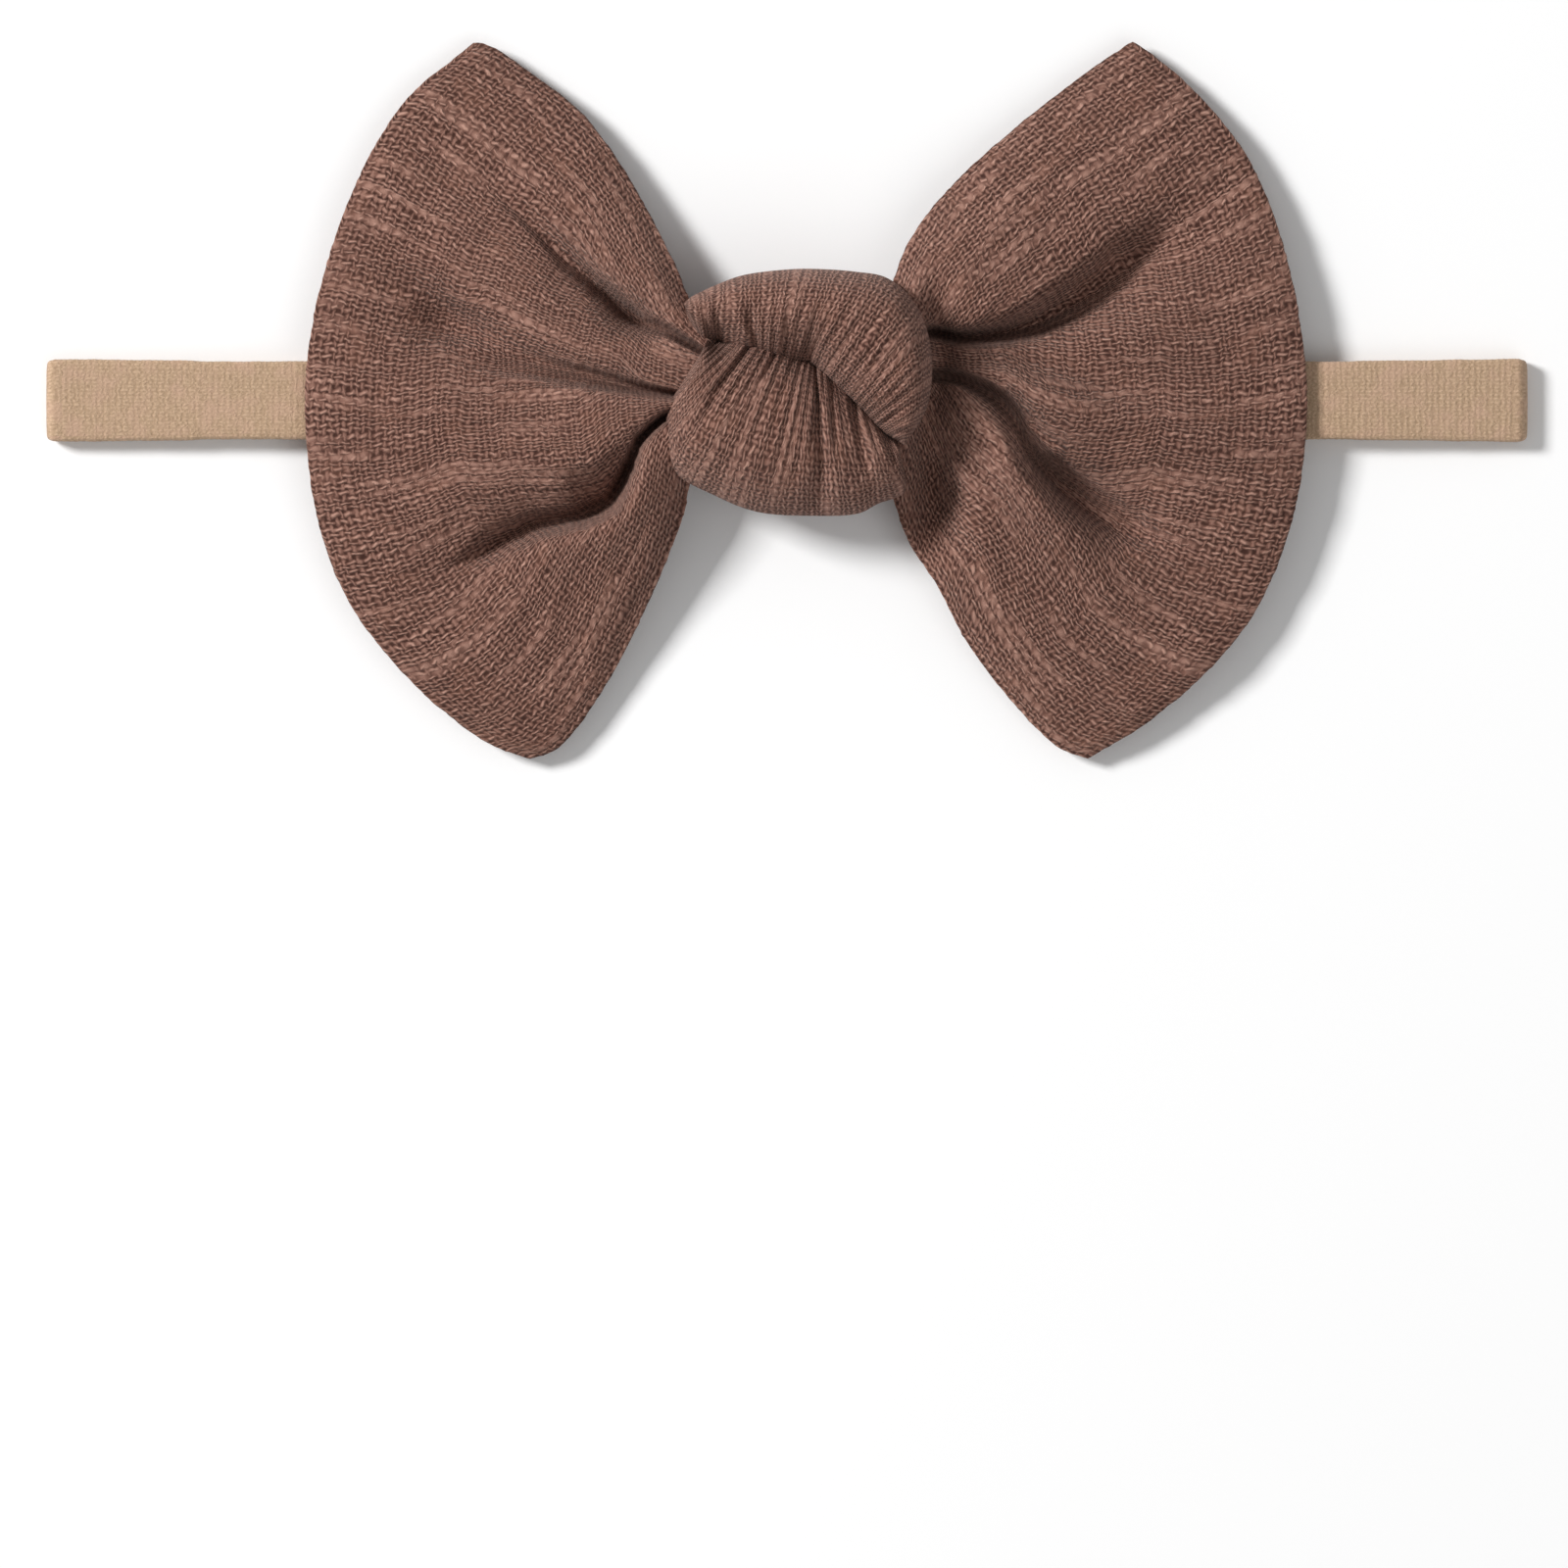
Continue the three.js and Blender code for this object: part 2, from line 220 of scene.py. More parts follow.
class Nodes:
    """Short spellings for building a node tree."""

    def __init__(self, name):
        self.material = bpy.data.materials.new(name)
        self.material.use_nodes = True
        self.tree = self.material.node_tree
        self.shader = self.tree.nodes["Principled BSDF"]

    def new(self, kind, *inputs, **settings):
        """A node with its settings, its first inputs fed in their order."""
        node = self.tree.nodes.new(kind)
        for key, value in settings.items():
            setattr(node, key, value)
        for socket, value in zip(node.inputs, inputs):
            self.feed(socket, value)
        return node

    def feed(self, socket, value):
        if isinstance(value, bpy.types.NodeSocket):
            self.tree.links.new(value, socket)
        else:
            socket.default_value = value

    def feed_all(self, node, values):
        for name, value in values.items():
            self.feed(node.inputs[name], value)

    def math(self, operation, a, b=0.0, c=0.0):
        return self.new("ShaderNodeMath", a, b, c, operation=operation).outputs[0]

    def plus(self, a, b):
        return self.math("ADD", a, b)

    def times(self, a, b):
        return self.math("MULTIPLY", a, b)

    def scaled(self, value, by, plus):
        return self.math("MULTIPLY_ADD", value, by, plus)

    def wave(self, value, pitch):
        """A cosine wave from -1 to 1 with one crest in each pitch."""
        return self.math("COSINE", self.times(value, 2 * math.pi / pitch))

    def raised(self, wave):
        """A wave lifted so that it runs from 0 to 1."""
        return self.scaled(wave, 0.5, 0.5)

    def centred(self, noise, size):
        """Noise from 0 to 1 as noise from -size / 2 to size / 2."""
        return self.scaled(noise, size, -size / 2)

    def split(self, vector):
        return self.new("ShaderNodeSeparateXYZ", vector).outputs[:2]

    def join(self, x, y, z=0.0):
        return self.new("ShaderNodeCombineXYZ", x, y, z).outputs[0]

    def noise(self, vector, scale, detail=2.0, rough=0.5):
        node = self.new("ShaderNodeTexNoise", vector)
        self.feed_all(node, {"Scale": scale, "Detail": detail, "Roughness": rough})
        return node.outputs["Fac"]

    def range(self, value, low, high, to_low=0.0, to_high=1.0, kind="SMOOTHSTEP"):
        inputs = (value, low, high, to_low, to_high)
        return self.new("ShaderNodeMapRange", *inputs, interpolation_type=kind).outputs[0]

    def mix(self, factor, a, b):
        node = self.new("ShaderNodeMix", factor, data_type="RGBA")
        self.feed_all(node, {6: a, 7: b})  # its two colours
        return node.outputs[2]

    def weave_uv(self):
        return self.new("ShaderNodeUVMap", uv_map="weave").outputs[0]

    def surface(self, height, distance, strength, look):
        """A bump by the height, and the shader's other inputs by their names."""
        node = self.new("ShaderNodeBump", strength, distance)
        self.feed(node.inputs["Height"], height)
        self.feed_all(self.shader, {**look, "Normal": node.outputs[0]})


# Sizes in millimetres.
GAUZE_PITCH = 0.6  # between the yarns that run along the strip
CROSS_PITCH = 0.62  # between the yarns that run across it
STEP_ASIDE = 0.075  # how far a yarn moves aside where it crosses another
SLUB_PITCH = 1.05  # width of a thick stretch of yarn
BEAD = 1.4  # length of one bulge of it
BEAD_LEAD = 0.37  # share of a bead by which each thick stretch is ahead of the next
GAUZE_DEPTH = 0.24  # from the holes to the tops of the yarns
# GAUZE_DARK is painted shade in the holes, and half of it also darkens random patches; the lightest
# colour is a painted highlight on the yarns' tops.
GAUZE_DARK = (0.045, 0.016, 0.0105, 1)
GAUZE_MID = (0.208, 0.101, 0.075, 1)
GAUZE_HIGHLIGHT = (0.52, 0.298, 0.23, 1)
GAUZE_WARM = (0.27, 0.122, 0.08, 1)


def yarn_places(n, along, across):
    """Places measured by the wandering yarns: x along them, and y across them before and after
    the step aside. Yarns drift apart and together over centimetres, and shiver over a millimetre."""
    drift_across = n.noise(n.join(n.times(along, 0.22), across, 2.0), 0.5, 2.0)
    drift_along = n.noise(n.join(along, n.times(across, 0.3), 9.0), 0.5, 2.0)
    shiver = n.centred(n.noise(n.join(along, across), 2.3, 1.0), 0.36)
    x = n.plus(n.plus(along, n.centred(drift_along, 1.4)), shiver)
    even_y = n.plus(n.plus(across, n.centred(drift_across, 1.5)), n.times(shiver, 0.5))
    step = n.math("SINE", n.times(x, math.pi / CROSS_PITCH))
    return x, even_y, n.scaled(step, STEP_ASIDE, even_y)


def gauze_height(n, along, across):
    """Height of the cloth: about 0 in its holes and 1 on its highest yarns."""
    x, even_y, y = yarn_places(n, along, across)
    wave_x, wave_y = n.wave(x, CROSS_PITCH), n.wave(y, GAUZE_PITCH)
    over = n.times(n.wave(x, 2 * CROSS_PITCH), n.wave(y, 2 * GAUZE_PITCH))
    over = n.range(over, -0.7, 0.7, -1.0, 1.0)
    # Slubs: long stretches of single yarns that are thicker and stand higher, in loose groups; the
    # painted highlight in gauze_colour makes them paler.
    row = n.times(n.math("ROUND", n.math("DIVIDE", y, GAUZE_PITCH)), 3.7)
    single = n.noise(n.join(n.times(along, 0.2), row), 1.0, 1.0)
    group = n.noise(n.join(n.times(along, 0.06), n.times(across, 0.33), 4.0), 1.0, 1.0)
    slub = n.range(n.plus(single, n.times(group, 0.8)), 0.86, 1.2)
    thin = n.range(n.noise(n.join(n.times(along, 0.35), row, 5.0), 1.0, 1.0), 0.3, 0.7)
    # No two crossings stand equally high.
    crossing = n.join(n.math("DIVIDE", x, CROSS_PITCH), n.math("DIVIDE", y, GAUZE_PITCH), 1.0)
    crossing = n.centred(n.noise(crossing, 1.1, 0.0), 0.5)
    lift = n.scaled(over, n.scaled(slub, -0.12, 0.24), 0.64)
    lift = n.plus(lift, n.times(slub, n.scaled(wave_x, 0.09, 0.11)))
    lift = n.plus(lift, n.scaled(thin, 0.16, -0.1))
    lengthwise = n.math("POWER", n.raised(wave_y), n.scaled(slub, -0.5, 1.05))
    lengthwise = n.times(lengthwise, n.plus(lift, crossing))
    crosswise = n.math("POWER", n.raised(wave_x), 0.9)
    crosswise = n.times(crosswise, n.scaled(over, -0.18, 0.42))
    height = n.math("SMOOTH_MAX", lengthwise, crosswise, 0.13)
    # The thickest slubs bulge over the holes beside them, like a row of beads.
    row = n.math("ROUND", n.math("DIVIDE", even_y, SLUB_PITCH))
    thick = n.noise(n.join(n.times(along, 0.085), n.times(row, 4.3), 7.0), 1.0, 1.0)
    thick = n.range(n.scaled(group, 0.9, thick), 0.95, 1.12)
    turn = n.scaled(row, 2 * math.pi * BEAD_LEAD, n.times(x, 2 * math.pi / BEAD))
    bulge = n.scaled(n.math("COSINE", turn), 0.2, 0.55)
    side = n.math("POWER", n.raised(n.wave(even_y, SLUB_PITCH)), 0.4)
    height = n.math("SMOOTH_MAX", height, n.times(n.times(bulge, thick), side), 0.12)
    fuzz = n.noise(n.join(along, across), 8.0, 3.0, 0.7)
    return n.plus(height, n.centred(fuzz, 0.275))


def gauze_colour(n, height, along, across):
    """Painted shade in the holes and a painted highlight on the yarns' tops and on the slubs, both taken
    from the height, with patches that are darker or warmer over centimetres."""
    # Painted shade and painted highlight: the lower the yarn, the darker its colour, and the highest
    # yarns get the lightest colour.
    tone = n.range(height, 0.08, 1.0, kind="LINEAR")
    colour = n.mix(n.range(tone, 0.0, 0.45), GAUZE_DARK, GAUZE_MID)
    colour = n.mix(n.range(tone, 0.4, 1.0, kind="LINEAR"), colour, GAUZE_HIGHLIGHT)
    patch = n.noise(n.join(along, across), 0.12, 3.0)
    patch = n.range(patch, 0.3, 0.7, 0.0, 0.22, kind="LINEAR")
    colour = n.mix(patch, colour, n.mix(0.5, GAUZE_MID, GAUZE_DARK))
    warm = n.noise(n.join(across, along, 3.0), 0.3, 2.0)
    return n.mix(n.range(warm, 0.5, 0.75, 0.0, 0.2), colour, GAUZE_WARM)


def gauze_material():
    """Crinkle cotton double gauze: slubbed yarns along the strip, finer ones across, and open
    holes between them."""
    n = Nodes("crinkle_gauze")
    along, across = n.split(n.weave_uv())
    height = gauze_height(n, along, across)
    look = {
        "Base Color": gauze_colour(n, height, along, across),
        "Roughness": n.range(height, 0.0, 1.0, 0.98, 0.82, kind="LINEAR"),
        "Specular IOR Level": 0.2,
        "Sheen Weight": 0.12,
        "Sheen Roughness": 0.55,
        "Sheen Tint": (1.0, 0.82, 0.74, 1),
    }
    n.surface(height, GAUZE_DEPTH * MM, 0.9, look)
    return n.material


# Sizes in millimetres.
RIB_PITCH = 0.62  # between the ribs that run across the band
LOOP_PITCH = 0.36  # between the knitted loops along a rib
NYLON_DEPTH = 0.12
NYLON_DARK = (0.36, 0.235, 0.145, 1)
NYLON_LIGHT = (0.66, 0.465, 0.31, 1)
NYLON_PINK = (0.58, 0.37, 0.27, 1)


def nylon_material():
    """Skinny stretch nylon: fine wavy ribs across the band, a soft fuzz of loops and a pink
    mottle."""
    n = Nodes("ribbed_nylon")
    along, across = n.split(n.weave_uv())
    flat = n.join(along, across)
    sway = n.centred(n.noise(n.join(along, n.times(across, 1.6)), 1.3, 4.0), 1.5)
    rib = n.raised(n.wave(n.plus(along, sway), RIB_PITCH))
    loop = n.scaled(n.times(n.wave(across, LOOP_PITCH), rib), 0.18, 0.18)
    fuzz = n.noise(flat, 3.6, 4.0, 0.75)
    height = n.plus(n.times(rib, 0.34), loop)
    height = n.plus(height, n.scaled(fuzz, 1.8, -0.85))
    colour = n.mix(n.range(height, -0.05, 0.95, kind="LINEAR"), NYLON_DARK, NYLON_LIGHT)
    pink = n.range(n.noise(flat, 0.35, 3.0), 0.42, 0.7, 0.0, 0.5)
    look = {
        "Base Color": n.mix(pink, colour, NYLON_PINK),
        "Roughness": n.range(fuzz, 0.2, 0.8, 0.7, 0.88, kind="LINEAR"),
        "Specular IOR Level": 0.25,
        "Sheen Weight": 0.2,
        "Sheen Roughness": 0.4,
    }
    n.surface(height, NYLON_DEPTH * MM, 0.7, look)
    return n.material


THREAD_TWISTS = 900  # scale of the wave that draws the twist
THREAD_DEPTH = 0.05  # millimetres
THREAD_DARK = (0.55, 0.39, 0.25, 1)
THREAD_LIGHT = (0.78, 0.6, 0.42, 1)


def thread_material():
    """Twisted sewing thread."""
    n = Nodes("thread")
    place = n.new("ShaderNodeTexCoord").outputs["Object"]
    wave = n.new("ShaderNodeTexWave", place, THREAD_TWISTS, bands_direction="DIAGONAL")
    height = wave.outputs["Fac"]
    look = {"Base Color": n.mix(height, THREAD_DARK, THREAD_LIGHT), "Roughness": 0.6}
    n.surface(height, THREAD_DEPTH * MM, 1.0, look)
    return n.material


GAUZE, NYLON, THREAD = gauze_material(), nylon_material(), thread_material()
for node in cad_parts.values():
    material = GAUZE
    if node.name.startswith("band"):
        material = THREAD if "stitch" in node.name else NYLON
    node.data.materials.clear()
    node.data.materials.append(material)


# ---- Wings ----

# All places on a wing are shares seen from above: across, 0 at the knot's middle and 1 at the wing's
# furthest point, and up, from -1 to 1. Each valley has its share of the arc from the top tip, and the
# line that it follows out from the knot. A dent also has its depth and its half widths above and
# below its line, in millimetres; a negative depth is a ridge.
WINGS = {
    "left": {
        "side": -1,
        "upper": [(0.165, 0.17), (0.225, 0.27), (0.254, 0.366), (0.444, 0.795), (0.546, 0.907),
                  (0.64, 0.99)],
        "arc": [(0.662, 0.994), (0.806, 0.82), (0.997, 0.087), (0.92, -0.54), (0.62, -0.962),
                (0.548, -0.997)],
        "lower": [(0.165, -0.1), (0.22, -0.2), (0.243, -0.331), (0.515, -0.985)],
        "valleys": [
            (0.13, [(0.235, 0.165), (0.265, 0.19), (0.328, 0.225), (0.394, 0.3), (0.458, 0.38)]),
            (0.38, [(0.235, 0.01), (0.256, 0.015), (0.323, 0.03), (0.392, 0.05), (0.462, 0.07)]),
            (0.72, [(0.225, -0.03), (0.275, -0.052), (0.325, -0.12), (0.35, -0.2), (0.385, -0.29),
                    (0.44, -0.325), (0.545, -0.355), (0.65, -0.43)]),
        ],
        "dents": [
            [(0.3, 0.2, 2.4, 1.3, 1.4), (0.335, 0.23, 4.8, 1.4, 1.7), (0.394, 0.3, 3.0, 1.2, 2.2),
             (0.46, 0.385, 1.3, 1.5, 3.2), (0.53, 0.48, 0.2, 2.0, 3.2)],
            [(0.53, 0.11, 0.6, 1.8, 1.8), (0.62, 0.16, 2.2, 1.8, 2.6), (0.7, 0.225, 4.2, 1.6, 3.2),
             (0.79, 0.295, 2.0, 2.2, 3.8), (0.9, 0.35, 0.3, 2.5, 3.0)],
            [(0.323, 0.03, 0.8, 1.0, 1.2), (0.392, 0.05, 1.5, 1.3, 1.5), (0.46, 0.07, 0.9, 1.7, 2.0),
             (0.55, 0.09, 0.3, 2.2, 2.5)],
            [(0.335, -0.13, 0.8, 1.4, 1.0), (0.365, -0.23, 4.0, 2.4, 1.2), (0.41, -0.29, 4.6, 3.0, 1.2),
             (0.47, -0.325, 2.8, 3.0, 1.2), (0.545, -0.355, 2.4, 3.4, 1.8), (0.65, -0.43, 1.4, 4.0, 3.0),
             (0.76, -0.53, 0.3, 4.0, 4.0)],
            [(0.32, -0.16, -0.8, 1.4, 1.6), (0.365, -0.33, -1.0, 1.2, 2.4), (0.45, -0.39, -0.8, 1.2, 3.0),
             (0.56, -0.44, -0.5, 1.6, 3.0)],
        ],
    },
    "right": {
        "side": 1,
        "upper": [(0.165, 0.19), (0.225, 0.445), (0.58, 0.92)],
        "arc": [(0.662, 0.997), (0.718, 0.94), (0.886, 0.669), (0.998, -0.093), (0.896, -0.593),
                (0.698, -0.885), (0.572, -0.996)],
        "lower": [(0.165, -0.13), (0.225, -0.4), (0.277, -0.511), (0.34, -0.678), (0.535, -0.98)],
        "valleys": [
            (0.21, [(0.21, 0.165), (0.25, 0.19), (0.325, 0.175), (0.44, 0.2), (0.557, 0.285),
                    (0.673, 0.4), (0.77, 0.5)]),
            (0.69, [(0.2, 0.05), (0.245, 0.065), (0.3, 0.065), (0.36, 0.035), (0.42, -0.03),
                    (0.465, -0.14), (0.538, -0.245), (0.615, -0.32), (0.692, -0.38)]),
        ],
        "dents": [
            [(0.28, 0.18, 0.6, 1.0, 1.2), (0.4, 0.19, 3.0, 1.0, 2.0), (0.5, 0.235, 5.2, 1.2, 2.8),
             (0.6, 0.325, 5.2, 1.5, 3.4), (0.7, 0.43, 2.8, 2.2, 4.4), (0.8, 0.53, 0.8, 3.4, 5.5),
             (0.9, 0.62, 0.1, 4.5, 5.0)],
            [(0.3, 0.115, 1.0, 0.9, 0.9), (0.4, 0.115, 1.5, 1.2, 1.4), (0.52, 0.1, 1.9, 2.0, 2.2),
             (0.635, 0.045, 1.1, 2.6, 2.8), (0.77, 0.012, 0.3, 3.2, 3.5)],
            [(0.4, 0.06, -0.5, 1.2, 1.2), (0.52, -0.01, -1.1, 2.0, 2.0), (0.673, -0.07, -1.0, 2.6, 2.8),
             (0.85, -0.11, -0.5, 3.0, 3.2), (0.97, -0.125, -0.2, 3.2, 3.2)],
            [(0.38, 0.02, 1.2, 1.2, 1.0), (0.43, -0.05, 3.4, 1.4, 1.1), (0.475, -0.155, 5.4, 2.0, 1.3),
             (0.54, -0.25, 6.0, 2.8, 1.5), (0.605, -0.315, 4.2, 3.6, 2.2), (0.69, -0.39, 1.4, 4.6, 3.8),
             (0.8, -0.46, 0.1, 5.0, 5.0)],
            [(0.33, -0.02, -0.8, 1.2, 1.4), (0.4, -0.1, -1.5, 1.0, 1.9), (0.44, -0.22, -1.8, 1.1, 2.4),
             (0.52, -0.34, -1.5, 1.4, 3.0), (0.61, -0.46, -0.6, 2.4, 3.5)],
            [(0.24, -0.02, 2.2, 1.8, 1.6), (0.26, -0.15, 5.6, 2.5, 2.0), (0.265, -0.27, 6.0, 2.7, 2.4),
             (0.27, -0.38, 4.0, 2.5, 2.4)],
            [(0.27, 0.36, 0.4, 1.5, 1.5), (0.276, 0.24, 2.4, 1.6, 1.6), (0.276, 0.1, 3.0, 1.6, 1.6),
             (0.27, -0.02, 1.6, 1.6, 1.6)],
        ],
    },
}
# Where a piece starts on the weave, in millimetres, so that it differs from its neighbours.
WEAVE_START = {
    "wing_back": 130,
    "under": 200,
    "over": 300,
    "back_wrap": 400,
    "rear_left": 0,
    "rear_right": 150,
    "front": 300,
    "crease": 500,
}
WING_ROWS, WING_COLUMNS = 96, 281  # from the knot out, and from the top edge to the bottom edge
OUT, ACROSS = np.linspace(0, 1, WING_ROWS), np.linspace(0, 1, WING_COLUMNS)
# Millimetres.
PLY_HALF = 0.62  # half the wing's thickness away from its edges
EDGE_HALF = 0.36  # half the thickness at the turned edge
SEAM_RISE, SEAM_INNER, SEAM_OUTER = 0.12, 4.2, 5.4  # how the turned allowance shows, and its end
NECK_TOP = 9.3  # height of the folds where they come out of the knot
ROOT_BOW = 1.6  # how far the middle of a wing's inner end bows outward
SLIT_WIDTH = 0.9  # width of a slit at the knot
SLIT_DEPTH = 3.4  # the most that a fold goes down beside the knot
CLOTH_GAP = 0.15  # between the cloth and the band under it
TABLE_GAP = 0.25  # between the cloth and the table
TIP_GAP = 0.3  # between the wing's two tips and the bottom of its CAD box
EDGE_ROUND = 0.7  # distance over which the turned edge thickens
STITCH_PULL, STITCH_PITCH = 0.09, 0.55  # how far and how often the edge's stitches draw it in
WING_CRINKLE = [(0.12, 3.2, 1.5, 5), (0.05, 1.7, 0.8, 8)]
# Shares.
PANEL_FILL = 0.9  # a panel's width, for each millimetre of the cloth that it takes up
SLIT_FILL = 0.7  # a slit's width, for each millimetre of the cloth that goes down into it
FOLD_DEPTH = 0.42  # a fold's depth, for each millimetre of the cloth that goes down into it
FOLDS_END = (0.6, 0.95)  # the folds open out between these shares of the way to the arc
SEAM_LINE = 0.75  # how far the seam between the plies stands out at the edge


def front_run_top(distance):
    """Height of the front run's top at a distance from the loop's middle."""
    start, end = CENTRE_HIGH[0], FRONT_HIGH[0]
    share = np.clip((distance - start) / (end - start), 0, 1)
    return CENTRE_HIGH[2] + (FRONT_LOW[2] + RUN_THICKNESS - CENTRE_HIGH[2]) * share


def smooth_max(a, b, width):
    """The larger of a and b, rounded over width where they meet."""
    return (a + b + np.sqrt((a - b) ** 2 + width**2)) / 2


class WingPlan:
    """A wing seen from above: its outline, and a map from (out, across) to millimetres."""

    def __init__(self, name):
        self.wing = WINGS[name]
        self.side = self.wing["side"]
        low, high = WING_BOX[name]
        self.reach = (high[0] - KNOT_X) if self.side > 0 else (KNOT_X - low[0])
        self.reach -= EDGE_HALF
        self.low_z = low[2]
        self.arc = through(self.place(self.wing["arc"]), WING_COLUMNS)
        upper = np.vstack([self.place(self.wing["upper"]), self.arc[:1]])
        lower = np.vstack([self.place(self.wing["lower"]), self.arc[-1:]])
        self.upper, self.lower = through(upper, WING_ROWS), through(lower, WING_ROWS)
        self.radial = (length(self.upper) + length(self.lower)) / 2
        self.natural = length(self.arc)
        v = ACROSS[:, None]
        self.root = self.upper[0] * (1 - v) + self.lower[0] * v
        self.root = self.root + 4 * v * (1 - v) * [self.side * ROOT_BOW, 0]

    def place(self, shares):
        shares = np.asarray(shares, float)
        x = KNOT_X + self.side * shares[:, 0] * self.reach
        return np.column_stack([x, shares[:, 1] * (HALF_SPAN - EDGE_HALF)])

    def at(self, across):
        """The plan's points, where across holds for every row the share across of each column."""
        u, w = OUT[:, None, None], across[..., None]
        arc, root = between(across, ACROSS, self.arc), between(across, ACROSS, self.root)
        ruled = (1 - w) * self.upper[:, None] + w * self.lower[:, None] + (1 - u) * root + u * arc
        near = (1 - w) * self.root[0] + w * self.root[-1]
        far = (1 - w) * self.arc[0] + w * self.arc[-1]
        return ruled - (1 - u) * near - u * far


def valley_lines(plan, even_plan):
    """For each valley and each row, the share across at which its line crosses the row."""
    lines = []
    for end, path in plan.wing["valleys"]:
        line = through(plan.place(path), 40)
        gap = ((even_plan[None] - line[:, None, None]) ** 2).sum(axis=-1).reshape(len(line), -1)
        row, column = np.divmod(gap.argmin(axis=1), WING_COLUMNS)
        # The rows have to increase. The last one is the arc, where the valley ends.
        row = np.maximum.accumulate(OUT[row]) + np.arange(len(line)) * 1e-6
        lines.append(np.interp(OUT, np.append(row, 1.0001), np.append(ACROSS[column], end)))
    return lines


def gather(plan):
    """Folds the cloth's full width into each row: panels keep their width, and what is left goes
    down into the valleys. Gives the share across of each column, the valleys' depth and the arch."""
    v = ACROSS
    even_plan = plan.at(np.broadcast_to(v, (WING_ROWS, WING_COLUMNS)))
    width = np.linalg.norm(np.diff(even_plan, axis=1), axis=2).sum(axis=1)
    lines = valley_lines(plan, even_plan)
    ends = [end for end, _ in plan.wing["valleys"]]
    edges_v = np.array([0, *ends, 1])
    edges_t = np.stack([np.zeros(WING_ROWS), *lines, np.ones(WING_ROWS)])
    cloth = np.diff(edges_v)[:, None] * plan.natural
    room = np.diff(edges_t, axis=0) * width / PANEL_FILL
    spare = smooth_max(cloth - room, 0, 1.0) - 0.25
    spare = np.clip(spare * (1 - smooth(OUT, *FOLDS_END)), 0, None)
    last = len(ends)
    across, depth, arch = (np.zeros((WING_ROWS, WING_COLUMNS)) for _ in range(3))
    for i in range(WING_ROWS):
        u = i / (WING_ROWS - 1)
        keys_v, keys_t = [0.0], [0.0]
        for k in range(last):
            # A panel between two valleys gives half of its spare cloth to each.
            before = spare[k, i] * (1 if k == 0 else 0.5)
            after = spare[k + 1, i] * (1 if k == last - 1 else 0.5)
            slit = min(SLIT_WIDTH + 5 * u, SLIT_FILL * (before + after)) + 0.02
            centre_v, centre_t = edges_v[k + 1], edges_t[k + 1, i]
            start = centre_v - before / plan.natural - 1e-4
            end = centre_v + after / plan.natural + 1e-4
            keys_v += [start, centre_v, end]
            half = slit / 2 / width[i]
            keys_t += [centre_t - half, centre_t, centre_t + half]
            share = (v - centre_v) / np.where(v < centre_v, start - centre_v, end - centre_v)
            bowl = (1 + np.cos(math.pi * np.clip(share, 0, 1))) / 2
            depth[i] += SLIT_DEPTH * math.tanh(FOLD_DEPTH * (before + after) / SLIT_DEPTH) * bowl
        keys_v.append(1.0)
        keys_t.append(1.0)
        across[i] = np.interp(v, keys_v, np.maximum.accumulate(keys_t))
        for k in range(last + 1):
            low, high = edges_t[k, i], edges_t[k + 1, i]
            inside = np.clip((across[i] - low) / max(high - low, 1e-6), 0, 1)
            arch[i] += 4 * inside * (1 - inside)
    return across, depth, arch


def dents(plan, points):
    """Soft hollows and ridges along lines on the wing."""
    total = np.zeros(points.shape[:2])
    for dent in plan.wing["dents"]:
        dent = np.array(dent)
        line = through(np.column_stack([plan.place(dent), dent[:, 2:]]), 60)
        step = np.gradient(line[:, :2], axis=0)
        gap = points[:, :, None] - line[:, :2]
        distance = np.linalg.norm(gap, axis=-1)
        nearest = distance.argmin(axis=-1)
        distance = np.take_along_axis(distance, nearest[..., None], -1)[..., 0]
        to = np.take_along_axis(gap, nearest[..., None, None], 2)[:, :, 0]
        along = step[nearest] * np.sign(line[-1, 0] - line[0, 0])
        up = along[..., 0] * to[..., 1] > along[..., 1] * to[..., 0]
        depth, above, below = (line[nearest, k] for k in (2, 3, 4))
        total -= depth * np.exp(-((distance / np.where(up, above, below)) ** 2))
    return total


def wing_surface(plan):
    """The plan's points and the height of the cloth's middle at each."""
    u, v = OUT[:, None], ACROSS[None, :]
    across, depth, arch = gather(plan)
    points = soften(plan.at(across), 6)
    x, y = points[..., 0], points[..., 1]
    arc_z = front_run_top(KNOT_X + plan.reach) + PLY_HALF + CLOTH_GAP
    tip_z = plan.low_z + EDGE_HALF + TIP_GAP
    ends = np.abs(2 * across - 1)
    # The wing falls from the knot to the arc, and further towards its upper and lower edges.
    level = NECK_TOP + (arc_z - NECK_TOP) * u**0.85 - (arc_z - tip_z) * (u * ends) ** 2.2
    level = level - (1.3 * (1 - u) + 1.8 * 4 * u * (1 - u)) * ends**3
    fade = (1 - u) ** 1.5
    z = level + arch * (0.35 + 1.1 * fade) * (1 - smooth(u, 0.75, 1)) - depth
    z = z + dents(plan, points)
    z = z + 0.3 * noise(x / 9, y / 9, 3) * smooth(u, 0.15, 0.5)
    # The cloth stays above the table, and above the band where the band runs under it.
    band = front_run_top(np.abs(x)) + CLOTH_GAP
    beside = smooth(np.abs(y), CENTRE_HIGH[1] + 0.7, CENTRE_HIGH[1] + 3.5)
    under = TABLE_GAP + (band - TABLE_GAP) * (1 - beside)
    z = smooth_max(soften(z, 6), under + PLY_HALF + CLOTH_GAP, 0.35)
    fine = crinkle(u * plan.radial, v * plan.natural, WING_CRINKLE)
    return points, z + fine * smooth(u, 0.02, 0.2)


def rim_of(values):
    """A grid's boundary from the root round the arc and back to the root."""
    return np.concatenate([values[:, 0], values[-1, 1:], values[-2::-1, -1]])


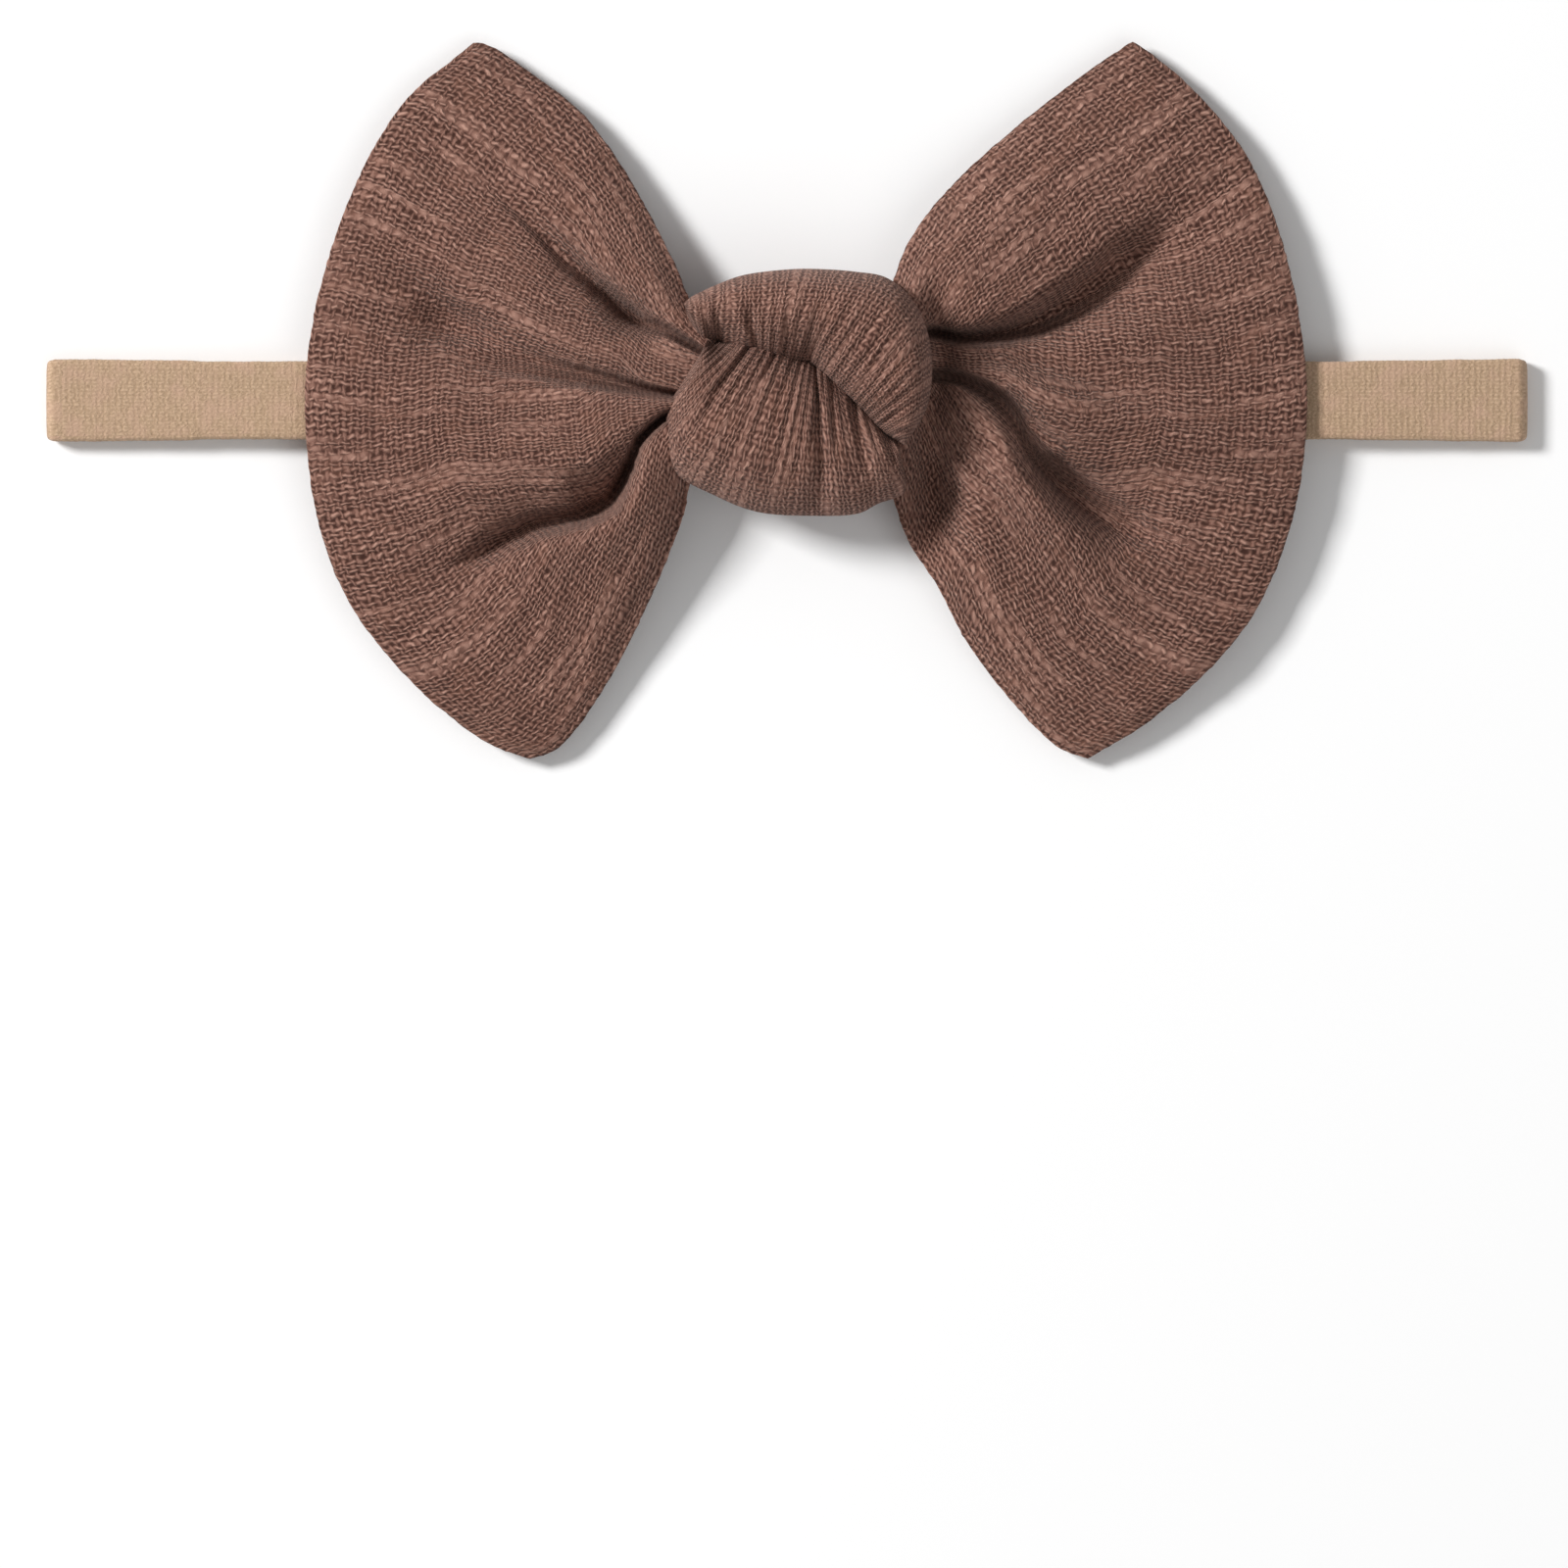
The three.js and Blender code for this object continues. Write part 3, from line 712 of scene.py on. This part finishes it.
def weave_places(plan, surface):
    """Where each vertex lies on the weave. The weave is spread evenly over the cloth, and drawn
    together beside a hollow, so that it isn't stretched on the hollow's walls."""
    places = []
    for along, total in ((surface, plan.radial), (surface.transpose(1, 0, 2), plan.natural)):
        step = np.linalg.norm(np.diff(along, axis=0), axis=2)
        step = soften(np.maximum(step, total / len(step)), 12)
        run = np.vstack([np.zeros(along.shape[1]), np.cumsum(step, axis=0)])
        places.append(total * run / run[-1])
    return np.dstack([places[0], places[1].T])


def wing_rim(points, z, half):
    """The rounded edge from the front to the back: one row of rim points for each angle."""
    rim, rim_z, rim_half = rim_of(points), rim_of(z), rim_of(half)
    tangent = soften(np.gradient(rim, axis=0).T, 4).T
    tangent /= np.linalg.norm(tangent, axis=1)[:, None]
    normal = np.stack([tangent[:, 1], -tangent[:, 0]], axis=1)
    normal *= np.sign(np.sum(normal * (rim - points.mean(axis=(0, 1)))))
    stitches = STITCH_PULL * noise(travel(rim) / STITCH_PITCH, 0.5, 41)[:, None]
    rows = []
    for angle in (90, 60, 30, 8, -8, -30, -60, -90):
        turn = math.radians(angle)
        out = rim_half * math.cos(turn) * (SEAM_LINE if abs(angle) < 10 else 1)
        side = (out[:, None] + stitches * math.cos(turn)) * normal
        rows.append(np.column_stack([rim + side, rim_z + rim_half * math.sin(turn)]))
    return np.stack(rows)


def build_wing(name):
    plan = WingPlan(name)
    points, z = wing_surface(plan)
    u, v = OUT[:, None], ACROSS[None, :]
    # Each point's distance from the wing's edge, roughly.
    span = np.linalg.norm(points[:, -1] - points[:, 0], axis=1)[:, None] + 6
    edge = np.minimum(np.minimum(v, 1 - v) * span, (1 - u) * plan.radial)
    half = EDGE_HALF + (PLY_HALF - EDGE_HALF) * (1 - np.exp(-edge / EDGE_ROUND))
    allowance = smooth(edge, 0.3, 1.0) * (1 - smooth(edge, SEAM_INNER, SEAM_OUTER))
    half = half + SEAM_RISE * allowance
    front, back = np.dstack([points, z + half]), np.dstack([points, z - half])
    rim = wing_rim(points, z, half)
    weave = weave_places(plan, front)
    back_weave = weave + [0, WEAVE_START["wing_back"]]
    rim_weave = np.stack([rim_of(weave) + 0.15 * k for k in range(len(rim))])
    root_weave = np.stack([weave[0], weave[0] + [1, 0]])
    patches = Patches()
    patches.add(front, weave, 0.01, 0.45)
    patches.add(back, back_weave, 0.47, 0.91, flip=True)
    patches.add(rim, rim_weave, 0.93, 0.96)
    patches.add(np.stack([front[0], back[0]]), root_weave, 0.97, 0.99)
    piece = patches.piece(f"{name}_wing", GAUZE, "gauze")
    inside = [f"{name}_wing_{part}" for part in ("front_ply", "back_ply", "seam_allowance")]
    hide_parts(f"{name}_neck", *inside)
    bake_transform(piece)


for wing_name in WINGS:
    build_wing(wing_name)


# ---- Knot ----

# Cross-section of a lobe from its crease, over the top, to the rim and under it: share of the way
# from crease to rim, and height as a share of the knot's depth.
OVER_SECTION = [(0.16, 0.3), (0.06, 0.42), (0.0, 0.56), (0.02, 0.7), (0.1, 0.82), (0.24, 0.92),
                (0.42, 0.98), (0.63, 0.99), (0.82, 0.925), (0.945, 0.77), (0.99, 0.58), (1.0, 0.42),
                (0.985, 0.29), (0.9, 0.17), (0.74, 0.1), (0.5, 0.08)]
UNDER_SECTION = [(0.1, 0.25), (-0.02, 0.36), (-0.06, 0.48), (-0.02, 0.6), (0.07, 0.73), (0.2, 0.86),
                 (0.38, 0.94), (0.57, 0.93), (0.75, 0.85), (0.89, 0.7), (0.97, 0.55), (1.0, 0.42),
                 (0.985, 0.29), (0.9, 0.17), (0.74, 0.1), (0.45, 0.1)]
# For each lobe, matching places on its crease and on its rim, as shares of the knot's half length and
# half width. Its crown gives the height of its top and its grooves are pleats, both by the share of
# the way along the rim: a groove has its place, its strength and how far it reaches to the rim.
# Its puckers are the height of its ruffles in millimetres, and its crinkle is as in crinkle().
LOBES = {
    "over": {
        "section": OVER_SECTION,
        "crease": [(-0.84, 0.62), (-0.74, 0.46), (-0.58, 0.4), (-0.38, 0.36), (-0.18, 0.3),
                   (-0.03, 0.25), (0.08, 0.24), (0.2, 0.14), (0.34, 0.0), (0.48, -0.15),
                   (0.62, -0.32), (0.78, -0.42)],
        "rim": [(-0.86, 0.72), (-0.8, 0.78), (-0.56, 0.9), (-0.38, 0.96), (-0.05, 1.0), (0.18, 1.0),
                (0.42, 0.98), (0.66, 0.93), (0.87, 0.73), (0.99, 0.38), (0.97, -0.1), (0.8, -0.43)],
        "crown": [(0.0, 0.62), (0.12, 0.78), (0.3, 0.95), (0.5, 1.0), (0.75, 1.0), (0.9, 0.88),
                  (1.0, 0.66)],
        "grooves": [(0.1, 0.4, 0.9), (0.2, 0.55, 0.8), (0.33, 0.4, 0.6), (0.42, 0.3, 0.5),
                    (0.86, 0.5, 0.6)],
        "puckers": 0.2,
        "crinkle": [(0.11, 3.0, 1.4, 11), (0.05, 1.5, 0.8, 14)],
    },
    "under": {
        "section": UNDER_SECTION,
        "crease": [(-0.68, 0.44), (-0.56, 0.42), (-0.46, 0.42), (-0.33, 0.4), (-0.16, 0.36),
                   (0.02, 0.3), (0.13, 0.24), (0.26, 0.12), (0.42, -0.05), (0.58, -0.24), (0.76, -0.44)],
        "rim": [(-0.74, 0.3), (-0.9, 0.05), (-1.0, -0.22), (-0.95, -0.62), (-0.62, -0.84),
                (-0.3, -0.97), (0.1, -1.0), (0.43, -0.985), (0.6, -0.9), (0.8, -0.8), (0.765, -0.5)],
        "crown": [(0.0, 0.66), (0.1, 0.8), (0.3, 0.93), (0.5, 0.96), (0.7, 0.9), (0.88, 0.76),
                  (1.0, 0.6)],
        "grooves": [(0.2, 0.35, 0.5), (0.29, 0.85, 0.8), (0.42, 0.6, 0.5), (0.68, 1.0, 1.25),
                    (0.75, 0.5, 0.7), (0.82, 0.7, 0.9), (0.92, 0.6, 0.9)],
        "puckers": 0.15,
        "crinkle": [(0.11, 3.0, 1.4, 12), (0.05, 1.5, 0.8, 14)],
    },
}
LOBE_COLUMNS, LOBE_ROWS = 221, 90  # along the crease, and once round a lobe's section
# Where the lobes are drawn in, at the middle of the crease and at its left end: the place as shares
# of the knot's half length and half width, and the depth and radius in millimetres.
DRAWN_IN = [((0.05, 0.29), 1.9, 2.1), ((-0.6, 0.42), 2.2, 1.6)]
SECTION_MIDDLE = 0.42  # the height in a section that its top is scaled from
PLEAT_DEPTH = 1.1  # millimetres
RUFFLE_PITCH = 1.7  # millimetres along the rim
LOBE_WIDTH = 11  # millimetres from crease to rim, about
PAIR_SPREAD = 40  # keeps matching places in order where a crease or a rim turns sharply


def knot_place(shares):
    return np.array(shares) * KNOT_HALF[:2] + [KNOT_X, KNOT_Y]


def lobe_folds(lobe, plan, share, v, natural):
    """How far the pleats, the ruffles and the drawn-in places move a lobe's top, in millimetres."""
    # Pleats run from the crease towards the rim and die out there.
    reach = np.clip(share, 0, 1)
    groove = 0
    for at, strength, until in lobe["grooves"]:
        width = 0.013 + 0.016 * reach
        line = at + 0.016 * noise(reach * 3, at * 50, 17)
        fade = 1 - smooth(reach, until - 0.45, until)
        groove = groove + strength * np.exp(-(((v - line) / width) ** 2)) * fade
    ruffle = 2 * math.pi * v * natural / RUFFLE_PITCH + 1.5 * reach
    ruffle = np.cos(ruffle + 2.2 * noise(v * 9, reach * 1.5, 19)) * (1 - smooth(reach, 0.3, 0.9))
    folds = lobe["puckers"] * ruffle - PLEAT_DEPTH * groove
    for spot, depth, radius in DRAWN_IN:
        gap = np.linalg.norm(plan - knot_place(spot), axis=2)
        folds = folds - depth * np.exp(-((gap / radius) ** 2))
    return folds


def build_lobe(name):
    lobe = LOBES[name]
    pairs = np.column_stack([knot_place(lobe["crease"]), knot_place(lobe["rim"])])
    order = np.linspace(0, 1, len(pairs)) * PAIR_SPREAD
    dense = through(np.column_stack([pairs, order]), 400)
    rim_along = travel(dense[:, 2:4])
    natural = rim_along[-1]
    even = np.linspace(0, natural, LOBE_COLUMNS)
    crease = between(even, rim_along, dense[:, :2])
    rim = between(even, rim_along, dense[:, 2:4])
    section = through(lobe["section"] + lobe["section"][:1], LOBE_ROWS)
    section[-1] = section[0]
    share, rise = section[:, 0][:, None], section[:, 1][:, None]
    v = np.linspace(0, 1, LOBE_COLUMNS)[None, :]
    crown = soften(np.interp(v, *np.array(lobe["crown"]).T), 8)
    crown = np.where(rise > SECTION_MIDDLE, crown, 1.0)
    depth = KNOT_HIGH[2] - KNOT_LOW[2]
    z = KNOT_LOW[2] + depth * (SECTION_MIDDLE + (rise - SECTION_MIDDLE) * crown)
    plan = crease[None] + (rim - crease)[None] * share[..., None]
    around = travel(section * [LOBE_WIDTH, depth])[:, None]
    folds = lobe_folds(lobe, plan, share, v, natural)
    folds = folds + crinkle(around, v * natural, lobe["crinkle"])
    z = z + folds * smooth(rise, SECTION_MIDDLE, 0.62)
    points = np.dstack([plan, z])
    uu, vv = np.broadcast_arrays(around, v * natural * 1.05 + WEAVE_START[name])
    patches = Patches()
    patches.add(points, np.dstack([uu, vv]), 0.01, 0.91)
    patches.close(points[:, 0], points[:, -1])
    piece = patches.piece(f"knot_{name}_lobe_cloth", GAUZE, "gauze")
    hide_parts(f"knot_{name}_lobe")
    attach(piece, "knot")


for lobe_name in LOBES:
    build_lobe(lobe_name)


WRAP_ROWS, WRAP_COLUMNS = 61, 81  # across the band from edge to edge, and along it
WRAP_PAST = 0.6  # millimetres that it reaches past its CAD box on each side
WRAP_RISE = 2.6  # millimetres that its ends rise towards the lobes


def build_back_wrap():
    """The strip's turn behind the band, pressed flat between the band and what lies under it."""
    low, high = union("knot_back_wrap")
    size, middle = high - low, (low + high) / 2
    around = np.linspace(-1, 1, WRAP_ROWS)[:, None]
    v = np.linspace(-1, 1, WRAP_COLUMNS)[None, :]
    x = middle[0] + v * size[0] / 2 * (1 - 0.07 * around**2)
    y = middle[1] + around * (size[1] / 2 + WRAP_PAST) + 0 * v
    z = middle[2] + WRAP_RISE * np.abs(around) ** 5
    pleats = 0.1 * np.cos(v * 9 + 0.6 * around) + 0.08 * noise(x / 1.3, y / 4, 21)
    edge = np.sqrt(np.clip(1 - v**4, 0, 1)) * np.sqrt(np.clip(1 - around**6, 0, 1))
    half = size[2] / 2 * 0.92 * edge
    over = np.dstack([x, y, z + half])
    under = np.dstack([x, y, z - half + pleats * edge])
    weave = np.dstack([y, x + WEAVE_START["back_wrap"]])
    patches = Patches()
    patches.add(over, weave, 0.01, 0.49)
    patches.add(under, weave + [0, 40], 0.51, 0.99, flip=True)
    piece = patches.piece("knot_back_wrap_cloth", GAUZE, "gauze")
    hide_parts("knot_back_wrap")
    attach(piece, "knot")


build_back_wrap()


# ---- Nylon band ----

# Sizes in millimetres.
HALF_WIDTH = (FRONT_HIGH[1] - FRONT_LOW[1]) / 2
REAR_Z = (REAR_LOW[2] + REAR_HIGH[2]) / 2
STATION = RIB_PITCH / 4  # between cross-sections
RIB_HEIGHT, LOOP_HEIGHT = 0.012, 0.02
PIVOT_X = CENTRE_HIGH[0] + 0.15  # the pivots beside the knot and in the rear run, on both sides
RUN_END = FOLD_HIGH[0] - 1.2  # where the crease's turn starts
TUCK = RUN_END - 0.45  # where a run gets thinner to go into the crease
LEG = np.linspace(0.55, 0.08, 6)  # the stations of a crease's leg, measured back from RUN_END
TURN = np.linspace(0, math.pi, 49)  # the angles of a crease's turn


def half_width_at(x):
    """A little wider at the creases and narrower where the bow holds it."""
    distance = np.abs(x)
    wave = 0.05 * noise(x / 3.1, 0.3, 31) + 0.03 * noise(x / 1.1, 0.7, 32)
    corner = 0.7 * np.clip((distance - RUN_END) / 1.2, 0, 1) ** 3
    return HALF_WIDTH * (0.962 + 0.058 * smooth(distance, 52, 74)) + wave - corner


def tube_ring():
    """Once round a strap's section: the share of its flat part, and the sideways and outward parts
    of its round edges."""
    flat = np.linspace(-1, 1, 15)
    turn = np.linspace(0, math.pi, 9)[1:-1]
    ring = [(f, 0, 1) for f in flat] + [(1, math.sin(t), math.cos(t)) for t in turn]
    ring += [(f, 0, -1) for f in flat[::-1]] + [(-1, -math.sin(t), -math.cos(t)) for t in turn]
    return np.array(ring + ring[:1])


def strap(name, x, z, half, weave_start):
    """A pressed nylon tube through stations (x, z), with half thickness half at each."""
    spine = np.column_stack([x, z])
    along = travel(spine)
    tangent = np.gradient(spine, axis=0)
    tangent /= np.linalg.norm(tangent, axis=1)[:, None]
    out = np.column_stack([-tangent[:, 1], tangent[:, 0]])
    width, half = half_width_at(x)[:, None], half[:, None]
    flat, sideways, outward = tube_ring().T
    rib = RIB_HEIGHT * np.cos(2 * math.pi * along / RIB_PITCH)[:, None]
    y = flat * (width - half) + sideways * (half + rib)
    loops = LOOP_HEIGHT * noise(along[:, None] / 0.5, y / 0.7, 33)
    height = outward * (half * (1 - 0.1 * flat**8) + rib + loops)
    points = np.dstack([spine[:, :1] + out[:, :1] * height, y, spine[:, 1:] + out[:, 1:] * height])
    around = travel(points[len(x) // 2])
    uu, vv = np.broadcast_arrays(along[:, None] + weave_start, around - HALF_WIDTH)
    patches = Patches()
    patches.add(points, np.dstack([uu, vv]), 0.01, 0.91)
    patches.close(points[0], points[-1], weave_start)
    return patches.piece(name, NYLON, "nylon")


def stations(start, end):
    return np.linspace(start, end, int(abs(end - start) / STATION) + 1)


def run_half(x):
    """Half thickness of a run, thinner where its end tucks into the crease."""
    return RUN_THICKNESS / 2 * (1 - 0.16 * smooth(np.abs(x), TUCK, TUCK + 0.2))


def bend_at(piece):
    """Bakes the piece's transform into its mesh."""
    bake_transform(piece)


def build_rear_run():
    """The rear run in two halves. The left one reaches past the middle and ends in a round knuckle,
    on which the right one opens."""
    x = np.concatenate([stations(-RUN_END, PIVOT_X), PIVOT_X + np.linspace(0.05, 0.97, 14)])
    past = np.clip(x - PIVOT_X, 0, 1)
    half = run_half(x) * np.sqrt(1 - past**2)
    z = REAR_HIGH[2] - np.where(past > 0, half, RUN_THICKNESS / 2)
    rear_left = strap("nylon_rear_left", x, z, half, WEAVE_START["rear_left"])
    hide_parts("band_rear_left", "band_rear_center")
    bend_at(rear_left)
    x = stations(PIVOT_X, RUN_END)
    z = np.full(len(x), REAR_Z)
    rear_right = strap("nylon_rear_right", x, z, run_half(x), WEAVE_START["rear_right"])
    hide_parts("band_rear_right")
    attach(rear_right, "rear_right")


def build_front_run(side, name):
    """One half of the front run. The two halves meet inside the knot, and the left one stands for
    the stretch in there."""
    x = stations(side * RUN_END, 0)
    z = front_run_top(np.abs(x)) - RUN_THICKNESS / 2
    front = strap(f"nylon_front_{name}", x, z, run_half(x), WEAVE_START["front"])
    inside_knot = ["band_center"] if name == "left" else []
    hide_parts(f"band_front_{name}", *inside_knot)
    bend_at(front)


def build_crease(side, name):
    """The nylon's turn at one end of the loop, with a short leg over the end of each run."""
    front_z = front_run_top(RUN_END) - RUN_THICKNESS / 2
    turn_z, radius = (REAR_Z + front_z) / 2, (front_z - REAR_Z) / 2
    out = np.concatenate([-LEG, radius * np.sin(TURN), -LEG[::-1]])
    z = np.concatenate([0 * LEG + REAR_Z, turn_z - radius * np.cos(TURN), 0 * LEG + front_z])
    half = np.full(len(out), RUN_THICKNESS / 2)
    x = side * (RUN_END + out)
    crease = strap(f"nylon_{name}_crease", x, z, half, WEAVE_START["crease"])
    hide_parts(f"band_{name}_fold")
    # Both legs stay in line with their runs, and the bend is in the gap between them.
    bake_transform(crease)


build_rear_run()
for build in (build_front_run, build_crease):
    build(-1, "left")
    build(1, "right")


# ---- Camera, light and floor ----

# Millimetres.
FIELD = 159.5  # across the picture
VIEW_X, VIEW_Y = -0.3, -39.0  # what the middle of the picture looks at
CAMERA_HEIGHT = 2500.0
SENSOR = 36
# Metres.
FLOOR_HALF = 3.0
FLOOR_Z = -0.0002  # just under the part, so that the two don't share a plane
# Each light's place and side in metres, and its power in watts.
LIGHTS = {
    "key": ((-1.55, 0.72, 1.45), 0.55, 51),
    "fill": ((0.9, -0.9, 1.8), 1.6, 7),
}
SKY_STRENGTH = 0.32


def add_camera():
    """Looks straight down."""
    data = bpy.data.cameras.new("camera")
    data.sensor_width = SENSOR
    data.lens = SENSOR * CAMERA_HEIGHT / FIELD
    data.clip_start, data.clip_end = 0.01, 20
    camera = bpy.data.objects.new("camera", data)
    camera.location = (VIEW_X * MM, VIEW_Y * MM, CAMERA_HEIGHT * MM)
    bpy.context.scene.collection.objects.link(camera)
    bpy.context.scene.camera = camera


def add_floor():
    mesh = bpy.data.meshes.new("floor")
    corners = ((-1, -1), (1, -1), (1, 1), (-1, 1))
    corners = [(x * FLOOR_HALF, y * FLOOR_HALF, FLOOR_Z) for x, y in corners]
    mesh.from_pydata(corners, [], [(0, 1, 2, 3)])
    floor = bpy.data.objects.new("floor", mesh)
    bpy.context.scene.collection.objects.link(floor)
    paper = Nodes("pale_floor")
    look = {"Base Color": (0.96, 0.96, 0.96, 1), "Roughness": 0.9, "Specular IOR Level": 0.1}
    paper.feed_all(paper.shader, look)
    mesh.materials.append(paper.material)


def add_light(name, place, side, power):
    """A square soft light that faces the origin."""
    data = bpy.data.lights.new(name, "AREA")
    data.shape = "SQUARE"
    data.size = side
    data.energy = power
    light = bpy.data.objects.new(name, data)
    light.location = place
    light.rotation_euler = (-Vector(place)).to_track_quat("-Z", "Y").to_euler()
    bpy.context.scene.collection.objects.link(light)


def add_sky():
    sky = bpy.data.worlds.new("studio")
    sky.use_nodes = True
    background = sky.node_tree.nodes["Background"]
    background.inputs["Color"].default_value = (1, 1, 1, 1)
    background.inputs["Strength"].default_value = SKY_STRENGTH
    bpy.context.scene.world = sky


add_camera()
add_floor()
for light_name, light_settings in LIGHTS.items():
    add_light(light_name, *light_settings)
add_sky()
bpy.context.scene.view_settings.view_transform = "Standard"
